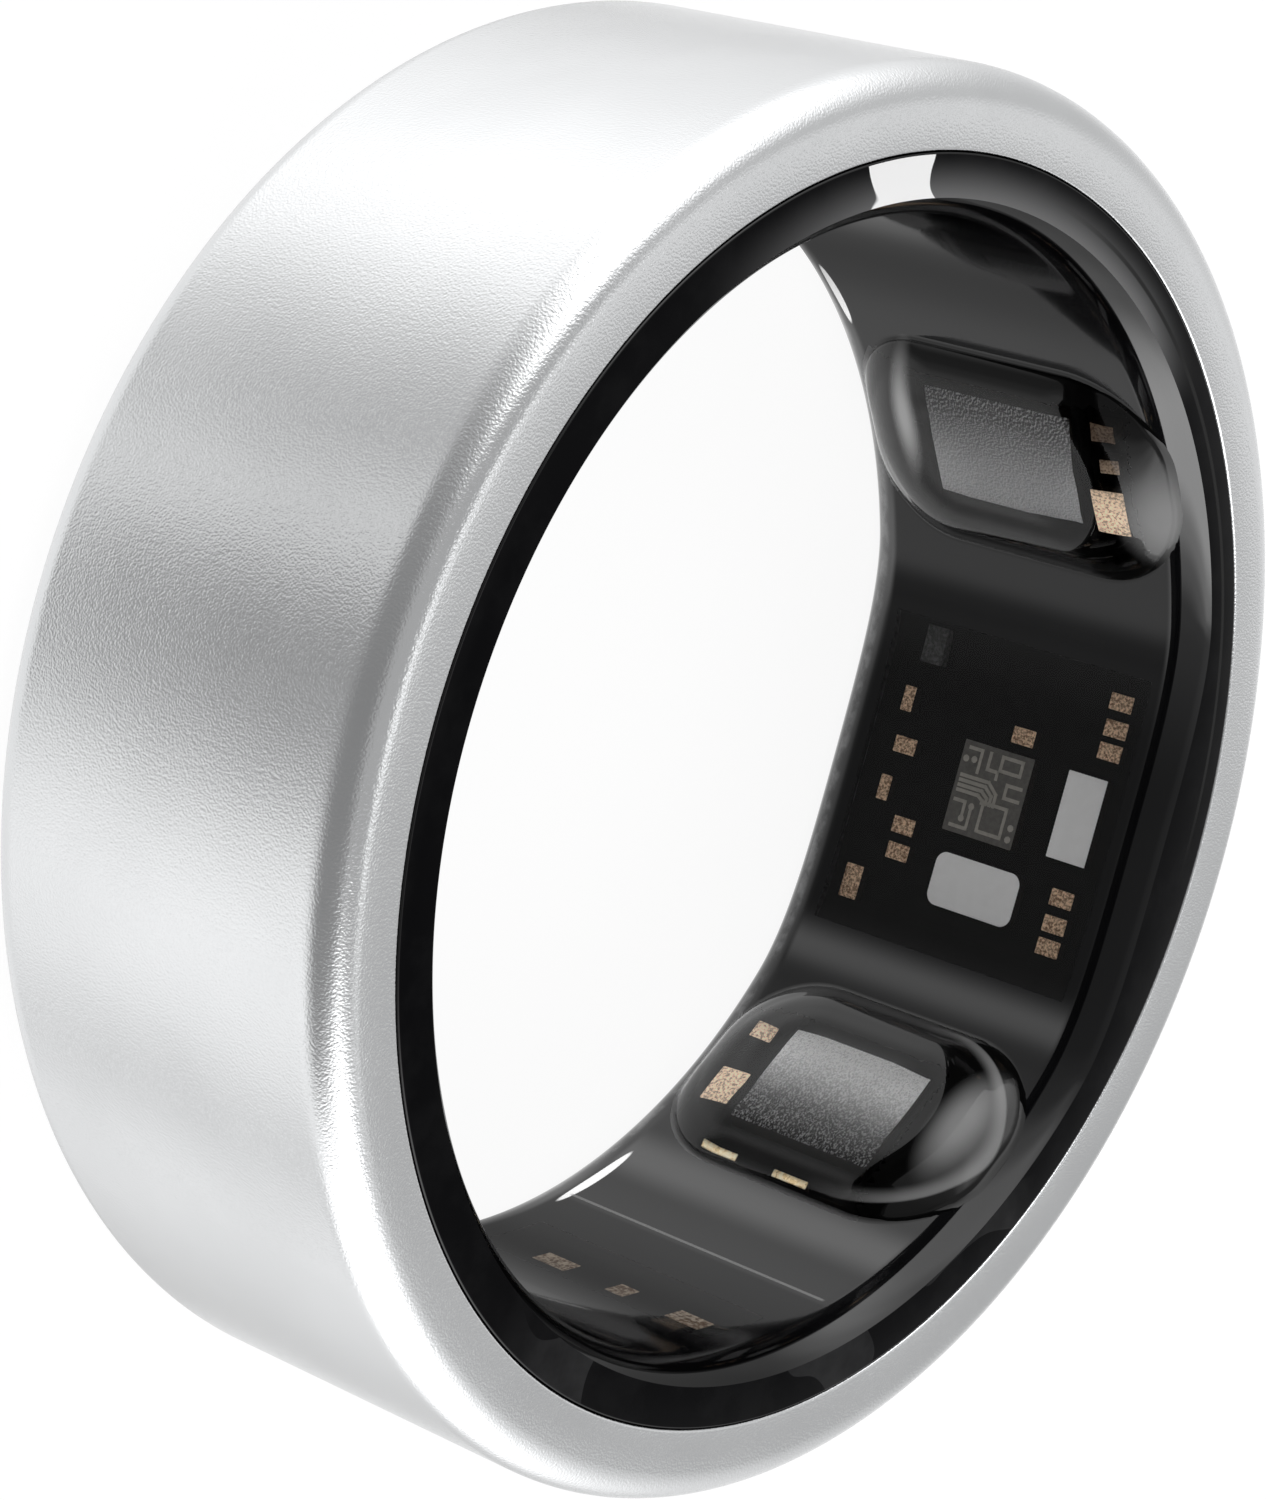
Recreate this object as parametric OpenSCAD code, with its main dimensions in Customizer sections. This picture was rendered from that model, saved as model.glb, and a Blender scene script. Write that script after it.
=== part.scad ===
// Smart ring lying on its side. The bore's axis is Z and the origin is at the middle of the bore.
// Angles run from +X towards +Y. The main circuit board faces the bore near +X, the domes lie
// above and below it, and the battery fills the side near -X.

/* [Ring] */
// Diameter of the finger bore where its wall is round
bore_d = 19.8; // [18.2:0.2:22.6]
// Thickness of the ring from the bore to the outside
ring_t = 2.55; // [2.5:0.05:3.2]
// Width of the ring along the finger
ring_w = 7.82; // [6.4:0.02:9]

/* [Outer shell] */
// Width of the metal rim on each side face, rounded corner included
rim_w = 1.42; // [1.2:0.02:1.5]
// Radius of the rounded outer corners
corner_r = 0.67; // [0.3:0.01:0.9]
// Thickness of the shell over its inner channel
shell_wall = 0.6; // [0.4:0.05:0.65]
// Thickness of the side flanges
flange_t = 0.7; // [0.6:0.02:0.72]

/* [Inner liner] */
// Thickness of the resin wall between the bore and the channel
liner_wall = 0.45; // [0.42:0.01:0.5]
// How far the lip opens out at the side faces
lip_rise = 0.365; // [0.2:0.005:0.42]
// How far the lip's curve reaches into the bore
lip_run = 0.75; // [0.5:0.05:0.9]
// How far the flat window stands in from the round wall at its middle
flat_depth = 0.5; // [0.4:0.02:0.56]
// Thickness of the resin over the main board's chips
window_t = 0.25; // [0.15:0.01:0.28]

/* [Domes] */
// Size of a dome's base around the ring
dome_w = 4.35; // [3.9:0.05:4.7]
// How far a dome's base ends from the ring's side faces
dome_side_gap = 0.485; // [0.4:0.005:0.7]
// How far the opening behind a dome stays inside its base
dome_ledge = 0.325; // [0.25:0.005:0.5]
// Corner radius of a dome's base
dome_corner_r = 1.8; // [1.2:0.05:1.9]
// Height of a dome over the round wall
dome_h = 0.8; // [0.4:0.05:1.2]

/* [Circuit boards] */
// Length of the main board around the ring
board_l = 6.4; // [5.6:0.1:6.4]
// Gap between the main board's edges and the channel's side walls
board_side_gap = 0.12; // [0.05:0.01:0.3]
// Thickness of the main board
board_t = 0.25; // [0.15:0.01:0.3]
// How far the sensor and power boards reach past the domes' bases around the ring
small_board_margin = 0.025; // [0:0.005:0.1]
// Gap between the small boards' edges and the channel's side walls
small_board_side_gap = 0.16; // [0.05:0.01:0.3]
// Thickness of the sensor and power boards
small_board_t = 0.2; // [0.12:0.01:0.25]
// Height of the chips on the main board's window side
chip_h = 0.3; // [0.2:0.01:0.35]

/* [Power] */
// Thickness of the battery cell
battery_t = 1.15; // [0.8:0.05:1.15]
// Gap between the battery's edges and the channel's side walls
battery_side_gap = 0.21; // [0.05:0.01:0.5]
// Thickness of the charging coil
coil_t = 0.16; // [0.1:0.01:0.16]
// Width of the coil's winding on each side
coil_band = 1.5; // [0.8:0.05:1.8]

/* [Hidden] */
$fn = 128;

// Angles of the pieces round the ring
flat_angle = -6.5;
upper_angle = 35.1;
lower_angle = -45;
power_angle = -83.5;
battery_start = 72;
battery_end = 185;
coil_start = 194;
coil_end = 257;
antenna_end = 67;

// Clearances
bond_gap = 0.02;
seat_gap = 0.05;
over = 0.5;

// Radii and half widths that every piece shares
bore_r = bore_d / 2;
ring_r = bore_r + ring_t;
rim_r = ring_r - rim_w;
floor_r = ring_r - shell_wall;
half_w = ring_w / 2;
channel_half = half_w - flange_t;
liner_back_r = bore_r + liner_wall;
lip_r = (lip_rise * lip_rise + lip_run * lip_run) / (2 * lip_rise);
lip_start = half_w - lip_run;

// Sizes of what lies between the side faces or the channel's walls
dome_l = ring_w - 2 * dome_side_gap;
board_w = 2 * (channel_half - board_side_gap);
small_board_w = 2 * (channel_half - small_board_side_gap);
small_board_l = dome_w + 2 * small_board_margin;
battery_w = 2 * (channel_half - battery_side_gap);

// Main board, seen through the flat window
flat_x = bore_r - flat_depth;
chip_top_x = flat_x + window_t + seat_gap;
board_x = chip_top_x + chip_h;
pocket_side_gap = 0.1;

// Sensor and power boards, seated behind the liner
small_board_x = liner_back_r + seat_gap;
lens_seat = 0.1;
lens_back_x = bore_r + lens_seat;
sensor_h = small_board_x - lens_back_x - 2 * bond_gap;
sensor_opening_w = dome_w - 2 * dome_ledge;
sensor_opening_l = small_board_w - 2 * seat_gap;

// Flexible circuit
flex_t = 0.12;
flex_side_gap = 0.71;
flex_w = 2 * (channel_half - flex_side_gap);
flex_r = liner_back_r + 0.5 * liner_wall;
tail_r = flex_r + flex_t;

// Insulating film, battery and coil
film_t = 0.08;
film_r = floor_r - bond_gap - film_t;
adhesive_t = 0.06;
adhesive_r = film_r - bond_gap - adhesive_t;
battery_r = adhesive_r - bond_gap;
ferrite_t = 0.1;
ferrite_r = tail_r - bond_gap - ferrite_t;
coil_r = ferrite_r - bond_gap - coil_t;
coil_w = small_board_w;
tab_t = 0.08;
tab_w = 1.2;
tab_r = tail_r + flex_t + bond_gap;

// Chips on the window side of the main board
radio_l = 1.8;
radio_w = 1.65;
crystal_l = 1.7;
crystal_w = 0.9;
clock_l = 1.06;
clock_w = 2;
clock_corner = 0.24;
capacitor_l = 0.33;
capacitor_w = 0.52;
resistor_l = 0.5;
resistor_w = 0.27;
storage_l = 0.68;
storage_w = 0.42;
temperature_l = 0.75;
temperature_w = 0.5;

// Places on the main board as shares of its half length and half width
radio_shares = [0.05, -0.02];
crystal_shares = [0.07, 0.65];
clock_shares = [-0.52, 0.06];
capacitor_shares = [[0.18, -0.72], [-0.29, -0.57], [-0.45, -0.56], [0.44, 0.12],
    [0.8, 0.74], [0.64, 0.75], [0.5, 0.75], [-0.41, 0.7], [-0.57, 0.7], [-0.71, 0.7]];
resistor_shares = [[0.46, -0.79], [-0.1, -0.79]];
storage_shares = [-0.71, -0.84];
temperature_shares = [0.82, -0.7];

// Pieces of the sensor boards
photodiode_l = 2.2;
sensor_row_rest = 2.8;
photodiode_w = sensor_opening_l - sensor_row_rest;
upper_sensor_z = -0.15;
lower_sensor_z = -0.3;
barrier_t = 0.14;
barrier_l = 3.1;
led_side = 0.45;
led_h = 0.2;
led_pitch = 0.75;

// Chips on the backs of the boards
back_gap = bond_gap;
power_chip_side = 2;
motion_side = 2;
motion_w = 1.6;
memory_side = 1.5;
inductor_side = 1;
driver_side = 2.1;
protection_side = 1.2;
back_chip_h = 0.5;
back_tall_h = 0.6;
back_low_h = 0.35;

// Shared shapes

module at_angle(a) {
    rotate([0, 0, a])
        children();
}

// Block on a board: its near face at x, centred at s round the ring and z along the finger
module block(x, h, l, w, s = 0, z = 0) {
    translate([x, s - l / 2, z - w / 2])
        cube([h, l, w]);
}

// Curved strip between two radii and two angles
module strip(r, t, from, to, w) {
    rotate([0, 0, from])
        rotate_extrude(angle = to - from)
            translate([r, -w / 2])
                square([t, w]);
}

// Outline of a rectangle with round corners
module round_outline(l, w, r) {
    square([l - 2 * r, w], center = true);
    square([l, w - 2 * r], center = true);
    for (i = [-1, 1], j = [-1, 1])
        translate([i * (l / 2 - r), j * (w / 2 - r)])
            circle(r = r);
}

// Prism that runs outward from x, with its outline across the ring's radius
module radial_prism(x, h) {
    translate([x, 0, 0])
        rotate([90, 0, 90])
            linear_extrude(height = h)
                children();
}

// Angle from the middle of a board to its end, as seen from the bore's axis
function board_end(x, l) = atan2(l / 2, x);

// Angle that a gap takes at a radius
function gap_angle(g, r) = g / r * 180 / PI;

main_end = board_end(board_x, board_l) + gap_angle(bond_gap, flex_r);
small_end = board_end(small_board_x, small_board_l) + gap_angle(bond_gap, flex_r);

// Section of the ring's outer corner that rounding takes away
module corner_cut(r_out, z_out, r) {
    difference() {
        translate([r_out - r, z_out - r])
            square(r + over);
        translate([r_out - r, z_out - r])
            circle(r = r);
    }
}

// Section that the lip's curve takes away at the bore's edge
module lip_cut() {
    difference() {
        translate([bore_r - over, lip_start])
            square([lip_rise + over, lip_run + over]);
        translate([bore_r + lip_r, lip_start])
            circle(r = lip_r);
    }
}

module shell_section() {
    difference() {
        translate([rim_r, -half_w])
            square([rim_w, ring_w]);
        translate([rim_r - over, -channel_half])
            square([floor_r - rim_r + over, 2 * channel_half]);
        for (i = [0, 1])
            mirror([0, i])
                corner_cut(ring_r, half_w, corner_r);
    }
}

module liner_section(r_out) {
    difference() {
        translate([bore_r, -half_w])
            square([r_out - bore_r, ring_w]);
        for (i = [0, 1])
            mirror([0, i])
                lip_cut();
    }
}

// Metal band, open towards the bore

module outer_shell() {
    color("silver")
        rotate_extrude()
            shell_section();
}

// Smoked resin sleeve

module channel_cut() {
    difference() {
        cylinder(h = 2 * channel_half, r = rim_r + over, center = true);
        cylinder(h = ring_w, r = liner_back_r, center = true);
    }
}

// Straight stretch of the wall that forms the flat window
module flat_pad() {
    intersection() {
        at_angle(flat_angle)
            translate([-flat_depth, board_l, 0])
                rotate([90, 0, 0])
                    linear_extrude(height = 2 * board_l)
                        liner_section(bore_r + liner_wall + flat_depth);
        cylinder(h = 2 * ring_w, r = liner_back_r, center = true);
    }
}

module board_pocket() {
    at_angle(flat_angle)
        translate([flat_x + window_t, -board_l / 2 - pocket_side_gap, -channel_half])
            cube([rim_r - flat_x, board_l + 2 * pocket_side_gap, 2 * channel_half]);
}

module dome_seat() {
    radial_prism(bore_r - dome_w, dome_w + lens_seat)
        round_outline(dome_w, dome_l, dome_corner_r);
    block(bore_r, rim_r - bore_r, sensor_opening_w, sensor_opening_l);
}

module inner_liner() {
    color([0.13, 0.13, 0.14])
        difference() {
            union() {
                rotate_extrude()
                    liner_section(rim_r - bond_gap);
                flat_pad();
            }
            channel_cut();
            board_pocket();
            at_angle(upper_angle)
                dome_seat();
            at_angle(lower_angle)
                dome_seat();
        }
}

// Clear domes. Rings of points climb from the seat over the wall to the crown.

dome_steps = 7;
dome_corner_steps = 6;
// Widths of the sloping border as shares of the half sizes of the base
dome_border_shares = [0.56, 0.46];
dome_slope = 58;
dome_crown_share = 0.12;

function lip_drop(z) = abs(z) > lip_start
    ? lip_r - sqrt(lip_r * lip_r - pow(min(abs(z) - lip_start, lip_r), 2)) : 0;
function wall_x(s, z) = sqrt(pow(bore_r + lip_drop(z), 2) - s * s);

// Points of a rectangle with round corners, half sizes a and b
function round_points(a, b, r) = [for (q = [0:3], j = [0:dome_corner_steps])
    let (turn = 90 * (q + j / dome_corner_steps), i = q == 0 || q == 3 ? 1 : -1, k = q < 2 ? 1 : -1)
    [i * (a - r) + r * cos(turn), k * (b - r) + r * sin(turn)]];

// The border is an arc that starts at the dome's slope angle and ends level
function border_inset(t) = 1 - sin(dome_slope * (1 - t)) / sin(dome_slope);
function border_rise(t) = (cos(dome_slope * (1 - t)) - cos(dome_slope)) / (1 - cos(dome_slope));

function dome_ring(t) =
    let (a = (dome_w / 2 - bond_gap) * (1 - dome_border_shares[0] * border_inset(t)),
        b = (dome_l / 2 - bond_gap) * (1 - dome_border_shares[1] * border_inset(t)),
        r = min(dome_corner_r - bond_gap, 0.95 * a),
        h = dome_h * (1 - dome_crown_share) * border_rise(t))
    [for (p = round_points(a, b, r)) [wall_x(p[0], p[1]) - h, p[0], p[1]]];

module dome_lens() {
    count = 4 * (dome_corner_steps + 1);
    seat = [for (p = dome_ring(0)) [lens_back_x - bond_gap, p[1], p[2]]];
    sides = [for (i = [0:dome_steps]) dome_ring(i / dome_steps)];
    points = concat(seat, [for (ring = sides, p = ring) p], [[bore_r - dome_h, 0, 0]]);
    rings = dome_steps + 2;
    tip = rings * count;
    polyhedron(points = points, convexity = 4, faces = concat(
        [[for (i = [0:count - 1]) i]],
        [for (k = [0:rings - 2], i = [0:count - 1])
            let (j = (i + 1) % count) [k * count + i, (k + 1) * count + i, k * count + j]],
        [for (k = [0:rings - 2], i = [0:count - 1])
            let (j = (i + 1) % count) [(k + 1) * count + i, (k + 1) * count + j, k * count + j]],
        [for (i = [0:count - 1]) [tip - count + i, tip, tip - count + (i + 1) % count]]));
}

module upper_dome_lens() {
    color([0.5, 0.5, 0.52])
        at_angle(upper_angle)
            dome_lens();
}

module lower_dome_lens() {
    color([0.5, 0.5, 0.52])
        at_angle(lower_angle)
            dome_lens();
}

// Main board and the chips on its window side

module main_board() {
    color([0.08, 0.08, 0.08])
        at_angle(flat_angle)
            block(board_x, board_t, board_l, board_w);
}

module board_chip(l, w, shares) {
    at_angle(flat_angle)
        block(chip_top_x, chip_h, l, w, shares[0] * board_l / 2, shares[1] * board_w / 2);
}

module radio_chip() {
    color([0.36, 0.36, 0.35])
        board_chip(radio_l, radio_w, radio_shares);
}

module crystal_can() {
    color([0.75, 0.75, 0.76])
        board_chip(crystal_l, crystal_w, crystal_shares);
}

module clock_can() {
    color([0.75, 0.75, 0.76])
        at_angle(flat_angle)
            translate([0, clock_shares[0] * board_l / 2, clock_shares[1] * board_w / 2])
                radial_prism(chip_top_x, chip_h)
                    round_outline(clock_l, clock_w, clock_corner);
}

module chip_capacitors() {
    color([0.6, 0.45, 0.34])
        for (shares = capacitor_shares)
            board_chip(capacitor_l, capacitor_w, shares);
}

module chip_resistors() {
    color([0.6, 0.45, 0.34])
        for (shares = resistor_shares)
            board_chip(resistor_l, resistor_w, shares);
}

module storage_capacitor() {
    color([0.62, 0.47, 0.35])
        board_chip(storage_l, storage_w, storage_shares);
}

module temperature_sensor() {
    color([0.2, 0.2, 0.2])
        board_chip(temperature_l, temperature_w, temperature_shares);
}

// Sensor boards under the domes

module small_board(angle) {
    color([0.1, 0.1, 0.1])
        at_angle(angle)
            block(small_board_x, small_board_t, small_board_l, small_board_w);
}

module upper_sensor_board() {
    small_board(upper_angle);
}

module lower_sensor_board() {
    small_board(lower_angle);
}

// Block on the bore side of a small board
module sensor_block(angle, h, l, w, s, z) {
    at_angle(angle)
        block(small_board_x - h, h, l, w, s, z);
}

module upper_photodiode() {
    color([0.3, 0.3, 0.31])
        sensor_block(upper_angle, sensor_h, photodiode_l, photodiode_w, 0, upper_sensor_z);
}

module lower_photodiode() {
    color([0.3, 0.3, 0.31])
        sensor_block(lower_angle, sensor_h, photodiode_l, photodiode_w, 0, lower_sensor_z);
}

barrier_pitch = photodiode_w / 2 + barrier_t / 2 + seat_gap;

module upper_light_barriers() {
    color([0.04, 0.04, 0.04])
        for (i = [-1, 1])
            sensor_block(upper_angle, sensor_h, barrier_l, barrier_t, 0, upper_sensor_z + i * barrier_pitch);
}

module lower_light_barriers() {
    color([0.04, 0.04, 0.04])
        for (i = [-1, 1])
            sensor_block(lower_angle, sensor_h, barrier_l, barrier_t, 0, lower_sensor_z + i * barrier_pitch);
}

// Light sources stand beyond one barrier and the copper contacts beyond the other
led_z = barrier_pitch + barrier_t / 2 + seat_gap + led_side / 2;

module upper_leds() {
    color([0.85, 0.85, 0.7])
        for (i = [-1:1])
            sensor_block(upper_angle, led_h, led_side, led_side, i * led_pitch, upper_sensor_z - led_z);
}

module lower_leds() {
    color([0.85, 0.85, 0.7])
        for (i = [-1:1])
            sensor_block(lower_angle, led_h, led_side, led_side, i * led_pitch, lower_sensor_z + led_z);
}

contact_h = 0.3;
contact_w = 0.6;
// Outer edges of the contacts
upper_contact_z = upper_sensor_z + barrier_pitch + barrier_t / 2 + seat_gap + contact_w;
lower_contact_z = lower_sensor_z - barrier_pitch - barrier_t / 2 - seat_gap - contact_w;
// Length and middle of each contact as shares of the opening's width, then its width as a share of contact_w
upper_contact_shares = [[0.25, -0.2, 1], [0.075, 0.065, 0.6], [0.095, 0.24, 0.8]];
lower_contact_shares = [[0.2, -0.152, 1], [0.1, 0.216, 0.75]];

module upper_contacts() {
    color([0.85, 0.6, 0.45])
        for (shares = upper_contact_shares)
            sensor_block(upper_angle, contact_h, shares[0] * sensor_opening_w, shares[2] * contact_w,
                shares[1] * sensor_opening_w, upper_contact_z - shares[2] * contact_w / 2);
}

module lower_contacts() {
    color([0.85, 0.6, 0.45])
        for (shares = lower_contact_shares)
            sensor_block(lower_angle, contact_h, shares[0] * sensor_opening_w, shares[2] * contact_w,
                shares[1] * sensor_opening_w, lower_contact_z + shares[2] * contact_w / 2);
}

bar_l = 0.14;
bar_w = 0.83;
bar_h = 0.3;
bar_pitch = 1.71;
bar_z = -0.88;
bar_side_gap = 0.1;
bar_s = -(sensor_opening_w / 2 - bar_l / 2 - bar_side_gap);

module terminal_bars() {
    color([0.9, 0.78, 0.5])
        for (i = [-1, 1])
            sensor_block(lower_angle, bar_h, bar_l, bar_w, bar_s, bar_z + i * bar_pitch / 2);
}

// Power board with its contacts, which show through the liner

module power_board() {
    small_board(power_angle);
}

power_contact_t = 0.04;
power_contact_l = 0.5;
power_contact_w = 0.75;
power_contact_pitch = 1.6;
power_contact_z = 0.1;
// Each contact's width as a share of power_contact_w
power_contact_width_shares = [1, 0.55, 1];

module power_contacts() {
    color([0.75, 0.6, 0.42])
        for (i = [0:2])
            sensor_block(power_angle, power_contact_t, power_contact_l,
                power_contact_width_shares[i] * power_contact_w, 0,
                power_contact_z + (i - 1) * power_contact_pitch);
}

// Flexible circuit in four stretches between the boards' ends

module flex(from, to) {
    color([0.55, 0.35, 0.12])
        strip(flex_r, flex_t, from, to, flex_w);
}

module flex_upper() {
    flex(flat_angle + main_end, upper_angle - small_end);
}

module flex_lower() {
    flex(lower_angle + small_end, flat_angle - main_end);
}

module flex_power() {
    flex(power_angle + small_end, lower_angle - small_end);
}

module flex_tail() {
    color([0.55, 0.35, 0.12])
        strip(tail_r, flex_t, battery_end + gap_angle(tab_w, tail_r), power_angle + 360 - small_end, flex_w);
}

module antenna_strip() {
    color([0.6, 0.4, 0.2])
        strip(flex_r, flex_t, upper_angle + small_end, antenna_end, flex_w);
}

// Chips on the backs of the boards

module back_chip(angle, x, h, l, w, s, z) {
    at_angle(angle)
        block(x + back_gap, h, l, w, s, z);
}

main_back_x = board_x + board_t;
small_back_x = small_board_x + small_board_t;
back_row_s = board_l / 4;
back_row_z = board_w / 4;

module power_chip() {
    color([0.15, 0.15, 0.16])
        back_chip(flat_angle, main_back_x, back_chip_h, power_chip_side, power_chip_side,
            back_row_s, back_row_z);
}

module motion_sensor() {
    color([0.18, 0.18, 0.18])
        back_chip(flat_angle, main_back_x, back_tall_h, motion_side, motion_w, -back_row_s, back_row_z);
}

module memory_chip() {
    color([0.12, 0.12, 0.13])
        back_chip(flat_angle, main_back_x, back_chip_h, memory_side, memory_side, -back_row_s, -back_row_z);
}

module power_inductor() {
    color([0.3, 0.3, 0.32])
        back_chip(flat_angle, main_back_x, back_tall_h, inductor_side, inductor_side,
            back_row_s, -back_row_z);
}

module optical_driver_chip() {
    color([0.14, 0.14, 0.15])
        back_chip(upper_angle, small_back_x, back_low_h, driver_side, driver_side, 0, 0);
}

module protection_chip() {
    color([0.14, 0.14, 0.15])
        back_chip(power_angle, small_back_x, back_low_h, protection_side, protection_side, 0, 0);
}

// Battery, held to the film on the shell's floor

module battery_cell() {
    color([0.7, 0.72, 0.74])
        strip(battery_r - battery_t, battery_t, battery_start, battery_end, battery_w);
}

module battery_adhesive() {
    color([0.9, 0.85, 0.5])
        strip(adhesive_r, adhesive_t, battery_start, battery_end, battery_w);
}

module battery_tabs() {
    color([0.8, 0.8, 0.78])
        for (i = [-1, 1])
            translate([0, 0, i * flex_w / 4])
                strip(tab_r, tab_t, battery_end + gap_angle(bond_gap, tab_r),
                    battery_end + gap_angle(2 * tab_w, tab_r), tab_w);
}

module insulating_film() {
    color([0.1, 0.1, 0.1])
        difference() {
            cylinder(h = 2 * (channel_half - bond_gap), r = film_r + film_t, center = true);
            cylinder(h = ring_w, r = film_r, center = true);
        }
}

// Charging coil on its ferrite sheet

coil_band_angle = gap_angle(coil_band, coil_r);

module charging_coil() {
    color([0.8, 0.45, 0.25])
        difference() {
            strip(coil_r, coil_t, coil_start, coil_end, coil_w);
            strip(coil_r - over, coil_t + 2 * over, coil_start + coil_band_angle,
                coil_end - coil_band_angle, coil_w - 2 * coil_band);
        }
}

module ferrite_sheet() {
    color([0.25, 0.25, 0.25])
        strip(ferrite_r, ferrite_t, coil_start, coil_end, coil_w);
}

outer_shell();
inner_liner();
upper_dome_lens();
lower_dome_lens();
main_board();
radio_chip();
crystal_can();
clock_can();
chip_capacitors();
chip_resistors();
storage_capacitor();
temperature_sensor();
upper_sensor_board();
lower_sensor_board();
upper_photodiode();
lower_photodiode();
upper_light_barriers();
lower_light_barriers();
upper_leds();
lower_leds();
upper_contacts();
lower_contacts();
terminal_bars();
power_board();
power_contacts();
flex_upper();
flex_lower();
flex_power();
flex_tail();
antenna_strip();
optical_driver_chip();
power_chip();
motion_sensor();
memory_chip();
power_inductor();
protection_chip();
battery_cell();
battery_tabs();
battery_adhesive();
insulating_film();
charging_coil();
ferrite_sheet();
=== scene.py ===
"""Looks of the smart ring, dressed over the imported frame, in metres.

The bore's axis runs along Z, and the ring lies on its side."""
from collections import namedtuple
from math import atan2, cos, pi, radians, sin, sqrt

import bmesh
import bpy
from mathutils import Matrix, Vector


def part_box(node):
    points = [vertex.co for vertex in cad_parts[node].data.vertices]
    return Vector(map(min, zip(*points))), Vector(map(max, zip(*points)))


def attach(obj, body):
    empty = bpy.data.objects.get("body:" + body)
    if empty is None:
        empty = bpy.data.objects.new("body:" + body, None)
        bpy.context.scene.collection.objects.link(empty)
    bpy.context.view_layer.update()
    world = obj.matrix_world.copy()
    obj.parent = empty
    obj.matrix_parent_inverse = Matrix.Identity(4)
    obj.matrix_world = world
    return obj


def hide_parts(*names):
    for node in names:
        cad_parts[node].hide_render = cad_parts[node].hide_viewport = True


MM = 0.001

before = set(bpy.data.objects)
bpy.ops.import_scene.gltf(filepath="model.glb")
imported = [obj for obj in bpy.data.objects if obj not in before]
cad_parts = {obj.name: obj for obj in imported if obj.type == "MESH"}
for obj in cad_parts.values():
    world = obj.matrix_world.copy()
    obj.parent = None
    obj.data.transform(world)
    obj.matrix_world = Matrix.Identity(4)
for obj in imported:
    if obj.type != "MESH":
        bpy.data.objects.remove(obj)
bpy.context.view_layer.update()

# Sizes that follow the frame
half_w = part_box("outer_shell")[1][2]
ring_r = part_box("outer_shell")[1][0]

# Sizes of the ring, as in the part's source
bore_r = 9.9 * MM
rim_w = 1.42 * MM
corner_r = 0.67 * MM
shell_wall = 0.6 * MM
flange_t = 0.7 * MM
liner_wall = 0.45 * MM
lip_rise = 0.365 * MM
lip_run = 0.75 * MM
flat_depth = 0.5 * MM
window_t = 0.25 * MM
bond_gap = 0.02 * MM
seat_gap = 0.05 * MM
lens_seat = 0.1 * MM
board_l = 6.4 * MM
chip_h = 0.3 * MM
pocket_side_gap = 0.1 * MM
dome_w = 4.35 * MM
dome_l = 6.85 * MM
dome_corner_r = 1.8 * MM
dome_h = 0.8 * MM
sensor_opening_w = 3.7 * MM
sensor_opening_l = 6 * MM
FLAT_ANGLE = radians(-6.5)
UPPER_ANGLE = radians(35.1)
LOWER_ANGLE = radians(-45)
POWER_ANGLE = radians(-83.5)

rim_r = ring_r - rim_w
floor_r = ring_r - shell_wall
channel_half = half_w - flange_t
liner_back_r = bore_r + liner_wall
liner_edge_r = rim_r - bond_gap
lip_start = half_w - lip_run
lip_r = (lip_rise ** 2 + lip_run ** 2) / (2 * lip_rise)
flat_x = bore_r - flat_depth
lens_back_x = bore_r + lens_seat
small_board_x = liner_back_r + seat_gap
board_x = flat_x + window_t + seat_gap + chip_h
rim_edge_r = 0.05 * MM
# Clear resin reaches this far into what it bonds to, so that no air shows between them
POTTING_OVERLAP = 0.03 * MM
potted_r = small_board_x + POTTING_OVERLAP

# Smoothness of the round meshes
TURN_STEPS = 720
ARC_STEPS = 10
OUTLINE_STEPS = 12
CREASE = radians(35)
# Points closer than this are one
MERGE_REACH = 0.001 * MM
# Edges flatter than the first angle go, and those past the second are rounded
FLAT_LIMIT = radians(1)
SHARP_LIMIT = radians(40)
# How squarely a face looks at the bore to count as facing it
FACING_SHARE = 0.6


# Camera

# The photograph's viewpoint, found from the ring's ellipses: its place and its right, up and back
CAMERA_AT = (-0.058193, 0.011626, 0.045755)
CAMERA_RIGHT = Vector((0.63914, 0.19001, 0.74525))
CAMERA_UP = Vector((0, 0.96900, -0.24705))
CAMERA_BACK = Vector((-0.76909, 0.15790, 0.61932))
LENS_MM = 103.594
SENSOR_MM = 36
CLIP_START = 2 * MM
CLIP_END = 10


def add_camera():
    data = bpy.data.cameras.new("camera")
    data.lens = LENS_MM
    data.sensor_width = SENSOR_MM
    data.clip_start = CLIP_START
    data.clip_end = CLIP_END
    cam = bpy.data.objects.new("camera", data)
    bpy.context.scene.collection.objects.link(cam)
    turn = Matrix((CAMERA_RIGHT, CAMERA_UP, CAMERA_BACK)).transposed().to_4x4()
    cam.matrix_world = Matrix.Translation(CAMERA_AT) @ turn
    bpy.context.scene.camera = cam


# Node helpers

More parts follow.
